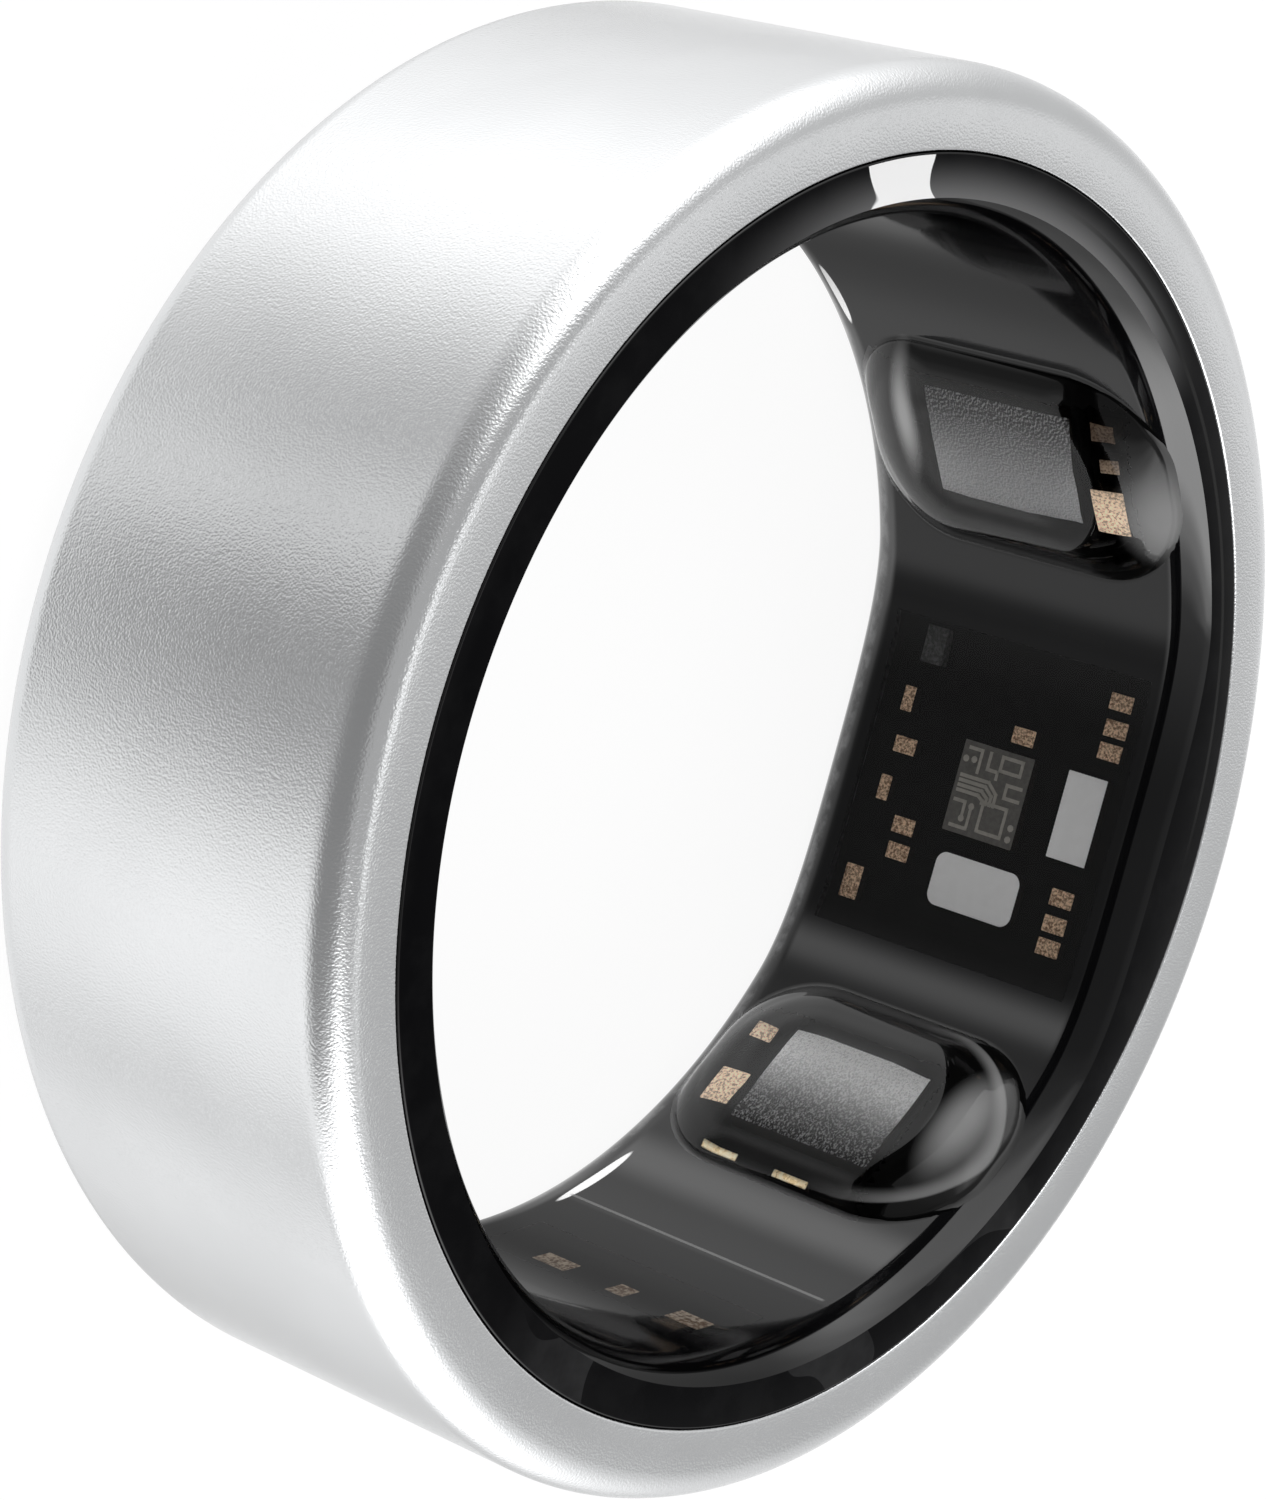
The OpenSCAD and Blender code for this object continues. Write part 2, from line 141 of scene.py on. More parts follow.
class Nodes:
    """Short calls for building one node tree."""

    def __init__(self, tree):
        self.tree = tree

    def put(self, socket, value):
        """A socket's value: a constant, or a link from another socket."""
        if isinstance(value, bpy.types.NodeSocket):
            self.tree.links.new(value, socket)
        elif isinstance(value, tuple) and socket.type == "RGBA" and len(value) == 3:
            socket.default_value = (*value, 1)
        else:
            socket.default_value = value

    def fill(self, node, **inputs):
        """Inputs by name, with underscores for the spaces in their names."""
        for key, value in inputs.items():
            self.put(node.inputs[key.replace("_", " ")], value)

    def add(self, kind, settings=None, **inputs):
        node = self.tree.nodes.new(kind)
        for key, value in (settings or {}).items():
            setattr(node, key, value)
        self.fill(node, **inputs)
        return node

    def math(self, operation, *values):
        node = self.add("ShaderNodeMath", {"operation": operation})
        for socket, value in zip(node.inputs, values):
            self.put(socket, value)
        return node.outputs[0]

    def times(self, a, b):
        return self.math("MULTIPLY", a, b)

    def size(self, value):
        return self.math("ABSOLUTE", value)

    def off(self, value, middle):
        """How far a value is from a middle, on either side."""
        return self.size(self.math("SUBTRACT", value, middle))

    def squares(self, a, b):
        return self.math("ADD", self.times(a, a), self.times(b, b))

    def dot(self, a, b):
        node = self.add("ShaderNodeVectorMath", {"operation": "DOT_PRODUCT"})
        self.put(node.inputs[0], a)
        self.put(node.inputs[1], b)
        return node.outputs["Value"]

    def step(self, value, low, high, to_low=0.0, to_high=1.0):
        """Smooth step of a value between two levels, the first of which may be the higher one."""
        node = self.add("ShaderNodeMapRange", {"interpolation_type": "SMOOTHSTEP"})
        self.fill(node, Value=value, From_Min=low, From_Max=high, To_Min=to_low, To_Max=to_high)
        return node.outputs[0]

    def window(self, value, rise, fall):
        """Share that rises over one range of a value and falls over another."""
        return self.times(self.step(value, *rise), self.step(value, *fall))

    def mix(self, factor, a, b):
        """Mix of two numbers."""
        node = self.add("ShaderNodeMix", {"data_type": "FLOAT"})
        for key, value in ((0, factor), (2, a), (3, b)):
            self.put(node.inputs[key], value)
        return node.outputs[0]

    def blend(self, factor, a, b):
        """Mix of two colours."""
        node = self.add("ShaderNodeMix", {"data_type": "RGBA"})
        for key, value in ((0, factor), (6, a), (7, b)):
            self.put(node.inputs[key], value)
        return node.outputs[2]

    def cover(self, factor, under, over):
        """One shader laid over another by a factor."""
        node = self.add("ShaderNodeMixShader", Fac=factor)
        self.put(node.inputs[1], under)
        self.put(node.inputs[2], over)
        return node.outputs[0]

    def place(self):
        return self.add("ShaderNodeTexCoord").outputs["Object"]

    def round_bore(self):
        """Turn, radius and height of the shaded point round the bore's axis."""
        x, y, z = self.add("ShaderNodeSeparateXYZ", Vector=self.place()).outputs
        return self.math("ARCTAN2", y, x), self.math("SQRT", self.squares(x, y)), z

    def along(self, angle):
        """Distance along the turn from the middle of a dome at that angle."""
        return self.dot(self.place(), (-sin(angle), cos(angle), 0))

    def noise(self, size, detail=2.0, roughness=0.5, vector=None):
        """Noise whose features are about size metres across."""
        node = self.add("ShaderNodeTexNoise", Vector=vector or self.place(), Scale=1 / size, Detail=detail,
                        Roughness=roughness)
        return node.outputs["Fac"]

    def bump(self, height, distance, strength=1.0):
        return self.add("ShaderNodeBump", Strength=strength, Distance=distance, Height=height).outputs[0]

    def transparent(self, colour=(1, 1, 1)):
        return self.add("ShaderNodeBsdfTransparent", Color=colour).outputs[0]

    def matt(self, colour):
        return self.add("ShaderNodeBsdfDiffuse", Color=colour).outputs[0]


def new_material(name):
    """A material with its Principled shader and its output."""
    mat = bpy.data.materials.new(name)
    mat.use_nodes = True
    mat.node_tree.nodes.clear()
    nodes = Nodes(mat.node_tree)
    shader = nodes.add("ShaderNodeBsdfPrincipled")
    output = nodes.add("ShaderNodeOutputMaterial", Surface=shader.outputs[0])
    return mat, nodes, shader, output


# Mesh helpers

def link(name, mesh, *materials):
    """A new object of the part, riding on its one body."""
    obj = bpy.data.objects.new(name, mesh)
    bpy.context.scene.collection.objects.link(obj)
    for mat in materials:
        mesh.materials.append(mat)
    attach(obj, "root")
    return obj


def smooth(mesh, angle=CREASE):
    """Smooth shading, but for edges past an angle."""
    mesh.shade_smooth()
    mesh.set_sharp_from_angle(angle=angle)


def arc(centre, radius, start, end, steps=ARC_STEPS):
    """Points of an arc, with angles in degrees."""
    turns = [radians(start + (end - start) * i / steps) for i in range(steps + 1)]
    return [(centre[0] + radius * cos(turn), centre[1] + radius * sin(turn)) for turn in turns]


def swept(name, section, *materials, steps=TURN_STEPS):
    """Solid of a closed section of (radius, z) points, which may change round the ring."""
    verts, faces = [], []
    for i in range(steps):
        turn = 2 * pi * i / steps
        ring = section(turn)
        verts += [(r * cos(turn), r * sin(turn), z) for r, z in ring]
    count = len(verts) // steps
    for i in range(steps):
        a, b = i * count, (i + 1) % steps * count
        faces += [(a + k, b + k, b + (k + 1) % count, a + (k + 1) % count) for k in range(count)]
    mesh = bpy.data.meshes.new(name)
    mesh.from_pydata(verts, [], faces)
    face_out(mesh)
    smooth(mesh)
    return link(name, mesh, *materials)


def face_out(mesh):
    """Turns all faces outward."""
    bm = bmesh.new()
    bm.from_mesh(mesh)
    bmesh.ops.recalc_face_normals(bm, faces=bm.faces)
    bm.to_mesh(mesh)
    bm.free()


def merge_points(mesh):
    bm = bmesh.new()
    bm.from_mesh(mesh)
    bmesh.ops.remove_doubles(bm, verts=bm.verts, dist=MERGE_REACH)
    bm.to_mesh(mesh)
    bm.free()


def radial_prism(outline, x_from, x_to, angle):
    """Cutter that runs outward, with its outline across the ring's radius."""
    count = len(outline)
    turn = Matrix.Rotation(angle, 4, "Z")
    verts = [turn @ Vector((x, s, z)) for x in (x_from, x_to) for s, z in outline]
    faces = [tuple(range(count)), tuple(range(2 * count - 1, count - 1, -1))]
    faces += [(k, count + k, count + (k + 1) % count, (k + 1) % count) for k in range(count)]
    mesh = bpy.data.meshes.new("cutter")
    mesh.from_pydata(verts, [], faces)
    face_out(mesh)
    obj = bpy.data.objects.new("cutter", mesh)
    bpy.context.scene.collection.objects.link(obj)
    return obj


def round_outline(half_s, half_z, radius, steps=OUTLINE_STEPS):
    """Rectangle with round corners, about the origin."""
    points = []
    for i, j, start in ((1, 1, 0), (-1, 1, 90), (-1, -1, 180), (1, -1, 270)):
        points += arc((i * (half_s - radius), j * (half_z - radius)), radius, start, start + 90, steps)
    return points


def carve(obj, cutters):
    """Takes the cutters out of a piece and deletes them."""
    for cutter in cutters:
        step = obj.modifiers.new("carve", "BOOLEAN")
        step.operation = "DIFFERENCE"
        step.solver = "EXACT"
        step.object = cutter
    bpy.context.view_layer.update()
    shape = obj.evaluated_get(bpy.context.evaluated_depsgraph_get())
    mesh = bpy.data.meshes.new_from_object(shape)
    obj.modifiers.clear()
    obj.data = mesh
    for cutter in cutters:
        bpy.data.objects.remove(cutter)
    smooth(mesh)


def rounded_copy(node, radius, *materials, segments=3, facing=None):
    """A CAD node's own shape with its edges rounded, in place of the node.

    Where the facing angle is given, what doesn't face the bore there gets the second material, a dark copy
    as painted shade."""
    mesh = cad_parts[node].data.copy()
    mesh.materials.clear()
    bm = bmesh.new()
    bm.from_mesh(mesh)
    bmesh.ops.remove_doubles(bm, verts=bm.verts, dist=MERGE_REACH)
    bmesh.ops.dissolve_limit(bm, angle_limit=FLAT_LIMIT, verts=bm.verts, edges=bm.edges)
    sharp = [e for e in bm.edges if len(e.link_faces) == 2 and e.calc_face_angle() > SHARP_LIMIT]
    bmesh.ops.bevel(bm, geom=sharp, offset=radius, segments=segments, profile=0.5, affect="EDGES",
                    clamp_overlap=True)
    bm.to_mesh(mesh)
    bm.free()
    smooth(mesh)
    if facing is not None:
        inward = Vector((-cos(facing), -sin(facing), 0))
        for face in mesh.polygons:
            face.material_index = 0 if face.normal.dot(inward) > FACING_SHARE else 1
    obj = link(node + "_body", mesh, *materials)
    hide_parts(node)
    return obj


# Materials

# Painted glints, bright slivers on the far rim: middle and half length in turn, and place along the bore
GLINTS = ((radians(53), radians(5), -3.25 * MM), (radians(-67.5), radians(6.5), -3.08 * MM))
GLINT_HALF_W = 0.11 * MM
GLINT_GLOW = 0.35
# Heights between which the far rim's painted reflection, a paler streaked band, fades in and out
FAR_RIM_SHEEN_RISE = (-half_w + 0.55 * MM, -half_w + 0.4 * MM)
FAR_RIM_SHEEN_FALL = (-half_w + 0.2 * MM, -half_w + 0.25 * MM)
# The power board's edge, a thin line across the bore: its turn, its soft sides and its ends
EDGE_LINE_ANGLE = radians(-71.5)
EDGE_LINE_SIDE = (0.0045, 0.0025)
EDGE_LINE_END = (3.1 * MM, 3.0 * MM)
# Soft bands on the wall, two light and one dark: middle and half width in turn, and the index at the middle
BANDS = ((radians(-28.5), radians(4.5), 1.8), (radians(-61.5), radians(5), 1.8),
         (radians(14.6), radians(3.3), 1.25))
# Share of a band's half width that has its full index
BAND_CORE = 0.1
# Index of the resin over the flat window and on the round wall, and how far from the flat it changes over
WINDOW_IOR = 1.34
WALL_IOR = 1.43
WALL_FADE = (radians(16), radians(27))
# The wall over the power board is potted, and most of that stretch shines no more than the window
POWER_POTTED_HALF = radians(11.5)
POWER_POTTED_CORE = 0.95
# Index on the lips, dim round one turn and bright elsewhere, and the heights where it takes over
DIM_LIP_IOR = 1.45
LIP_IOR = 1.85
DIM_LIP_ANGLE = radians(-30)
DIM_LIP_FADE = (radians(30), radians(50))
LIP_FADE = (lip_start, lip_start + 0.15 * MM)
# Turn at which the wall faces the camera, and where painted shade, a black matte layer, dims its gloss on
# either side
FACING_ANGLE = radians(-11.6)
GLANCE_FADE = (radians(56), radians(75))
GLANCE_SHADE = 0.6
# White patch on the near side face: its ends in turn, how soft its sides are, how far they lean in turn per
# metre inward, and how ragged they are
PATCH_START = radians(98.5)
PATCH_END = radians(107.5)
PATCH_SOFT = radians(0.15)
PATCH_LEAN = radians(1.5) / MM
PATCH_RAGGED = radians(6)
# Other marks on the side faces, by turn: the glow from behind, a pale ring and the shards at the bottom
SIDE_GLOW_RISE = (radians(44), radians(60))
SIDE_GLOW_FALL = (radians(132), radians(96))
EDGE_RING_R = bore_r + 0.72 * MM
EDGE_RING_SIDE = (0.06 * MM, 0.02 * MM)
EDGE_RING_RISE = (radians(-10), radians(5))
EDGE_RING_FALL = (radians(80), radians(60))
SHARD_EDGE = (0.56, 0.565)
SHARD_RISE = (radians(-128), radians(-118))
SHARD_FALL = (radians(-42), radians(-50))
# Sizes of grains and clouds, and how deep they are
BLAST_GRAIN = 0.042 * MM
BLAST_DEPTH = 0.006 * MM
METAL_CLOUD = 2.5 * MM
RESIN_CLOUD = 1.5 * MM
RESIN_WAVE = 0.004 * MM
RESIN_SMUDGE = 0.6 * MM
RIM_SHEEN_STREAK = 0.5 * MM
SIDE_CLOUD = 0.9 * MM
SHARD_SIZE = 1.8 * MM
PATCH_NOTCH = 0.7 * MM
LENS_SMUDGE = 0.8 * MM
SENSOR_GRAIN = 0.045 * MM
SENSOR_DEPTH = 0.07 * MM
# Offset of the grain's copy, whose difference with the grain paints light and shade on the sensor's pebbles
SENSOR_SHIFT = (0.012 * MM, -0.012 * MM, 0.02 * MM)
CONTACT_GRAIN = 0.05 * MM
CONTACT_DEPTH = 0.02 * MM
FINE_GRAIN = 0.1 * MM
FINE_DEPTH = 0.005 * MM
COPPER_GRAIN = 0.05 * MM
PAD_GRAIN = 0.08 * MM
COPPER_DEPTH = 0.004 * MM
CAN_GRAIN = 0.3 * MM
CAN_DEPTH = 0.001 * MM
GOLD_GRAIN = 0.12 * MM
GOLD_DEPTH = 0.003 * MM
MOULD_GRAIN = 0.08 * MM
BOARD_GRAIN = 0.6 * MM
BOARD_DEPTH = 0.001 * MM
FOIL_GRAIN = 0.4 * MM
# Where the painted shade and light on the grains and contacts in a dome are dim and where they are bright,
# along the turn from its middle
UPPER_GRAIN_SHADE = (1.5 * MM, -0.9 * MM)
LOWER_GRAIN_SHADE = (-1.0 * MM, 0.8 * MM)
UPPER_CONTACT_SHADE = (0.75 * MM, -0.9 * MM)
LOWER_CONTACT_SHADE = (-4.0 * MM, -3.0 * MM)
# The painted reflection on a dome stays on its own side of the dome's middle: product of heights in
# millimetres where it fades in
SAME_SIDE_FADE = (0.5, 3.5)
# Share of the lamps' light that the domes' black sides let through
SIDE_LETS_THROUGH = 0.7
WHITE = (1, 1, 1)
BLACK = (0, 0, 0)


def blasted_metal():
    """Bead-blasted aluminium with a fine pebbly grain."""
    mat, n, shader, _ = new_material("blasted_metal")
    grain = n.noise(BLAST_GRAIN, 1, 0.4)
    clouds = n.step(n.noise(METAL_CLOUD), 0.3, 0.7)
    n.fill(shader, Base_Color=n.blend(clouds, (0.80, 0.81, 0.82), (0.83, 0.84, 0.85)), Metallic=1.0,
           Roughness=n.step(grain, 0.3, 0.7, 0.17, 0.23), Normal=n.bump(grain, BLAST_DEPTH))
    return mat


def paint_glance_shade(n, surface, output):
    """Painted shade: lays black matte over the bore's wall where it is seen at a glance, at the top and the
    bottom, taking gloss off.
    """
    turn, _, _ = n.round_bore()
    shade_share = n.step(n.off(turn, FACING_ANGLE), *GLANCE_FADE, 0.0, GLANCE_SHADE)
    n.fill(output, Surface=n.cover(shade_share, surface, n.matt(BLACK)))


def glint_share(n, turn, z):
    """The painted glints, bright slivers on the far rim, each an ellipse."""
    total = 0.0
    for angle, half_turn, height in GLINTS:
        along = n.math("DIVIDE", n.math("SUBTRACT", turn, angle), half_turn)
        across = n.math("DIVIDE", n.math("SUBTRACT", z, height), GLINT_HALF_W)
        total = n.math("ADD", n.step(n.squares(along, across), 1.0, 0.7), total)
    return total


def resin_index(n, turn, z):
    """Index of the smoked resin, which sets how much each stretch of the bore shines."""
    index = n.step(n.off(turn, FLAT_ANGLE), *WALL_FADE, WINDOW_IOR, WALL_IOR)
    potted = n.step(n.off(turn, POWER_ANGLE), POWER_POTTED_HALF, POWER_POTTED_HALF * POWER_POTTED_CORE)
    index = n.mix(potted, index, WINDOW_IOR)
    for angle, half_turn, middle in BANDS:
        index = n.mix(n.step(n.off(turn, angle), half_turn, half_turn * BAND_CORE), index, middle)
    lip_index = n.step(n.off(turn, DIM_LIP_ANGLE), *DIM_LIP_FADE, DIM_LIP_IOR, LIP_IOR)
    return n.mix(n.step(n.size(z), *LIP_FADE), index, lip_index)


def smoked_resin():
    """Glossy, nearly black resin, with the power board's edge as a thin light line, a painted reflection as
    a paler band on the far rim, and painted glints there.
    """
    mat, n, shader, output = new_material("smoked_resin")
    turn, _, z = n.round_bore()
    clouds = n.noise(RESIN_CLOUD, 3)
    smudge = n.noise(RESIN_SMUDGE, 4, 0.65)
    # Painted reflection: a paler, streaked band on the far rim
    sheen_streaks = n.step(n.noise(RIM_SHEEN_STREAK, 3, 0.6), 0.35, 0.7)
    far_rim_sheen = n.times(n.window(z, FAR_RIM_SHEEN_RISE, FAR_RIM_SHEEN_FALL), sheen_streaks)
    glints = glint_share(n, turn, z)
    line = n.times(n.step(n.off(turn, EDGE_LINE_ANGLE), *EDGE_LINE_SIDE), n.step(n.size(z), *EDGE_LINE_END))
    base = n.blend(clouds, (0.003, 0.003, 0.0035), (0.006, 0.006, 0.0065))
    base = n.blend(far_rim_sheen, base, (0.16, 0.16, 0.163))
    # Painted highlights: the glints are white and glow by emission
    base = n.blend(glints, base, (0.95, 0.95, 0.95))
    n.fill(shader, Base_Color=n.blend(line, base, (0.18, 0.18, 0.18)), Emission_Color=WHITE,
           Emission_Strength=n.times(glints, GLINT_GLOW), Roughness=n.step(smudge, 0.45, 0.75, 0.05, 0.09),
           IOR=resin_index(n, turn, z), Normal=n.bump(clouds, RESIN_WAVE, 0.3))
    # Painted shade where the wall is seen at a glance
    paint_glance_shade(n, shader.outputs[0], output)
    return mat


def patch_share(n, turn, radius):
    """The white patch, with leaning, ragged sides."""
    lean = n.math("MULTIPLY_ADD", n.math("SUBTRACT", liner_edge_r, radius), PATCH_LEAN, turn)
    notches = n.math("SUBTRACT", n.noise(PATCH_NOTCH, 0), 0.5)
    ragged = n.math("MULTIPLY_ADD", notches, PATCH_RAGGED, lean)
    return n.window(ragged, (PATCH_START, PATCH_START + PATCH_SOFT), (PATCH_END, PATCH_END - PATCH_SOFT))


def edge_resin():
    """The same resin on the side faces: next to no shine, and pale where light gets in from behind."""
    mat, n, shader, _ = new_material("edge_resin")
    turn, radius, _ = n.round_bore()
    clouds = n.noise(SIDE_CLOUD, 3, 0.6)
    glow = n.times(n.window(turn, SIDE_GLOW_RISE, SIDE_GLOW_FALL), n.step(radius, liner_edge_r, bore_r))
    ring = n.times(n.step(n.off(radius, EDGE_RING_R), *EDGE_RING_SIDE),
                   n.window(turn, EDGE_RING_RISE, EDGE_RING_FALL))
    shards = n.times(n.step(n.noise(SHARD_SIZE, 0), *SHARD_EDGE), n.window(turn, SHARD_RISE, SHARD_FALL))
    base = n.blend(n.step(clouds, 0.4, 0.7), (0.0025, 0.0025, 0.003), (0.005, 0.005, 0.0055))
    base = n.blend(glow, base, (0.21, 0.21, 0.212))
    base = n.blend(ring, base, (0.02, 0.02, 0.02))
    base = n.blend(n.times(shards, clouds), base, (0.035, 0.035, 0.036))
    n.fill(shader, Base_Color=n.blend(patch_share(n, turn, radius), base, (0.95, 0.95, 0.95)),
           Roughness=n.step(clouds, 0.3, 0.7, 0.12, 0.2), Specular_IOR_Level=0.03)
    return mat


def paint_dome_reflection(n, surface, output, angle, spots):
    """Painted reflection: soft grey light laid over a dome's surface."""
    along = n.times(n.along(angle), 1 / MM)
    across = n.times(n.dot(n.place(), (0, 0, 1)), 1 / MM)
    total = 0.0
    for spot in spots:
        s = n.math("DIVIDE", n.math("SUBTRACT", along, spot.s), spot.half_s)
        z = n.math("DIVIDE", n.math("SUBTRACT", across, spot.z), spot.half_z)
        far = n.math("SQRT", n.squares(s, z))
        light = n.times(n.step(far, spot.rise, spot.full), n.step(far, 1.0, spot.fade, 0.0, spot.strength))
        same_side = n.step(n.times(across, spot.z), *SAME_SIDE_FADE)
        total = n.math("ADD", n.times(light, same_side), total)
    n.fill(output, Surface=n.cover(total, surface, n.matt((0.6, 0.6, 0.6))))


def clear_resin(name, ior, angle=None, spots=()):
    """Clear resin that lets lamps reach what is behind it."""
    mat, n, shader, output = new_material(name)
    tint = (0.95, 0.95, 0.95)
    n.fill(shader, Base_Color=tint, Roughness=n.step(n.noise(LENS_SMUDGE), 0.45, 0.75, 0.0, 0.02), IOR=ior,
           Transmission_Weight=1.0)
    lamp_ray = n.add("ShaderNodeLightPath").outputs["Is Shadow Ray"]
    surface = n.cover(lamp_ray, shader.outputs[0], n.transparent(tint))
    # Painted reflection on a lens, and painted shade at a glance on the window
    if spots:
        paint_dome_reflection(n, surface, output, angle, spots)
    else:
        paint_glance_shade(n, surface, output)
    return mat


def dome_side_resin(name, ior, angle, spots):
    """The domes' sides, where the glossy lens has only black behind it."""
    mat, n, shader, output = new_material(name)
    smudge = n.noise(LENS_SMUDGE)
    n.fill(shader, Base_Color=n.blend(smudge, (0.002, 0.002, 0.002), (0.004, 0.004, 0.004)),
           Roughness=n.step(smudge, 0.45, 0.75, 0.0, 0.02), IOR=ior)
    lamp_ray = n.add("ShaderNodeLightPath").outputs["Is Shadow Ray"]
    surface = n.cover(n.times(lamp_ray, SIDE_LETS_THROUGH), shader.outputs[0], n.transparent())
    # Painted reflection on the lens's black sides too
    paint_dome_reflection(n, surface, output, angle, spots)
    return mat


def plain_finish(name, low, high, rough=0.5, grain=FINE_GRAIN, depth=FINE_DEPTH, metallic=0.0, glow=0.0):
    """Two close tones in a fine grain, with bump and roughness from the same grain.

    Potted pieces have no shine, and a faint glow makes up for the light that the smoked resin takes."""
    mat, n, shader, _ = new_material(name)
    speck = n.noise(grain, 2, 0.6)
    tone = n.blend(n.step(speck, 0.35, 0.65), low, high)
    n.fill(shader, Base_Color=tone, Metallic=metallic, Specular_IOR_Level=0.0,
           Roughness=n.step(speck, 0.3, 0.7, rough * 0.85, rough * 1.15), Normal=n.bump(speck, depth, 0.6))
    if glow:
        n.fill(shader, Emission_Color=tone, Emission_Strength=glow)
    return mat


def sensor_grain_painted_light(name, angle, shade, bright, glow):
    """Pebbled sensor face with painted light: a painted gradient brightens it across the ring, its pebbles
    get painted light and shade from the grain less a shifted copy, deepest where it is dim, and it has a
    painted glow where it is bright.
    """
    mat, n, shader, _ = new_material(name)
    share = n.step(n.along(angle), *shade)
    grain = n.noise(SENSOR_GRAIN)
    beside = n.add("ShaderNodeMapping", Vector=n.place(), Location=SENSOR_SHIFT).outputs[0]
    # Painted light and shade of the pebbles, from the grain less its shifted copy
    relief_shade = n.math("SUBTRACT", grain, n.noise(SENSOR_GRAIN, vector=beside))
    shaded_tone = n.step(relief_shade, -0.05, 0.2, 0.0, 0.4)
    lit_tone = n.step(relief_shade, -0.2, 0.2, 0.7 * bright, bright)
    tone = n.mix(share, shaded_tone, lit_tone)
    n.fill(shader, Base_Color=n.blend(tone, BLACK, (0.99, 0.99, 1)), Metallic=0.4, Specular_IOR_Level=0.0,
           Emission_Color=WHITE, Emission_Strength=n.times(n.times(tone, share), glow),
           Roughness=n.step(grain, 0.3, 0.7, 0.35, 0.45), Normal=n.bump(grain, SENSOR_DEPTH))
    return mat


def contact_metal_painted_light(name, angle, shade, glow):
    """Pitted bright copper of the contacts in a dome, with painted shade darkening one end of the row and a
    painted glow at the other.
    """
    mat, n, shader, _ = new_material(name)
    # Painted shade darkens one end of the row, and a painted glow lights the other
    share = n.step(n.along(angle), *shade)
    speck = n.noise(CONTACT_GRAIN, 2, 0.6)
    pits = n.step(speck, 0.32, 0.62, 0.3, 1.0)
    tone = n.blend(n.times(pits, n.mix(share, 0.15, 1.0)), (0.03, 0.015, 0.01), (1.0, 0.76, 0.55))
    n.fill(shader, Base_Color=tone, Metallic=0.2, Specular_IOR_Level=0.0, Emission_Color=tone,
           Emission_Strength=n.times(share, glow), Roughness=0.4, Normal=n.bump(speck, CONTACT_DEPTH, 0.6))
    return mat


# Outer shell

RIM_EDGE_STEPS = 4


def shell_section(turn):
    """Half of the band's section, from its outside to the channel's floor, then the mirror image."""
    half = [(ring_r, 0)]
    half += arc((ring_r - corner_r, half_w - corner_r), corner_r, 0, 90)
    half += arc((rim_r + rim_edge_r, half_w - rim_edge_r), rim_edge_r, 90, 180, RIM_EDGE_STEPS)
    half += [(rim_r, channel_half), (floor_r, channel_half)]
    return half + [(r, -z) for r, z in reversed(half[1:])]


def add_shell(metal):
    shell = swept("metal_band", shell_section, metal)
    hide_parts("outer_shell")


# Liner, with the flat window and the two lens seats

FLAT_BLEND = 0.55 * MM
# Past this cosine from its middle the flat has no part in the wall
FLAT_SIDE_COS = 0.5
WALL_STEPS = 11
WALL_STEP = 0.3 * MM
LIP_STEPS = 12
LINER_EDGE_R = 0.03 * MM
LINER_EDGE_STEPS = 3
OPENING_CORNER_R = 0.1 * MM
OPENING_CORNER_STEPS = 2
SEAT_CUT_START = bore_r - 2 * MM
CUT_END = rim_r - 0.1 * MM
# Clear parts of the liner: over the main board, on its own side of the bore, and over the power board
WINDOW_HALF_L = board_l / 2 - 0.1 * MM
WINDOW_HALF_W = 2.9 * MM
WINDOW_SIDE_TURN = 1
POWER_WINDOW_HALF = radians(5)
POWER_WINDOW_HALF_W = 2.6 * MM
# What lies farther out than these is a side face, or the black inside of the liner
SIDE_FACE_START = half_w - 0.002 * MM
MASK_HALF_W = dome_l / 2 + 0.03 * MM
MASK_START_R = bore_r + 0.085 * MM
CLEAR_SLOT, SIDE_SLOT, MASK_SLOT = 1, 2, 3


def wall_radius(turn):
    """Radius of the bore's wall, with the flat blended softly into the round."""
    off = cos(turn - FLAT_ANGLE)
    if off < FLAT_SIDE_COS:
        return bore_r
    flat = flat_x / off
    gap = (flat - bore_r) / FLAT_BLEND
    if gap > 1:
        return bore_r
    if gap < -1:
        return flat
    return flat - FLAT_BLEND * (gap + 1) ** 2 / 4


def lip_drop(z):
    """How far the rounded lip has fallen back from the wall at a height."""
    past = min(abs(z) - lip_start, lip_r)
    return lip_r - sqrt(lip_r ** 2 - past ** 2) if past > 0 else 0.0


def liner_section(turn):
    wall = wall_radius(turn)
    past_power = (turn - POWER_ANGLE + pi) % (2 * pi) - pi
    back = potted_r if abs(past_power) < POWER_POTTED_HALF else liner_back_r
    lip_heights = [lip_start + lip_run * k / LIP_STEPS for k in range(LIP_STEPS)] + [half_w]
    half = [(wall, WALL_STEP * k) for k in range(WALL_STEPS)]
    half += [(wall + lip_drop(z), z) for z in lip_heights]
    half += arc((liner_edge_r - LINER_EDGE_R, half_w - LINER_EDGE_R), LINER_EDGE_R, 90, 0, LINER_EDGE_STEPS)
    half += [(liner_edge_r, channel_half), (back, channel_half)]
    return half + [(r, -z) for r, z in reversed(half[1:])]


def seat_cutters(angle):
    """The dome's seat and the opening below it."""
    seat = round_outline(dome_w / 2, dome_l / 2, dome_corner_r)
    opening = round_outline(sensor_opening_w / 2, sensor_opening_l / 2, OPENING_CORNER_R,
                            OPENING_CORNER_STEPS)
    return [radial_prism(seat, SEAT_CUT_START, lens_back_x, angle),
            radial_prism(opening, bore_r, CUT_END, angle)]


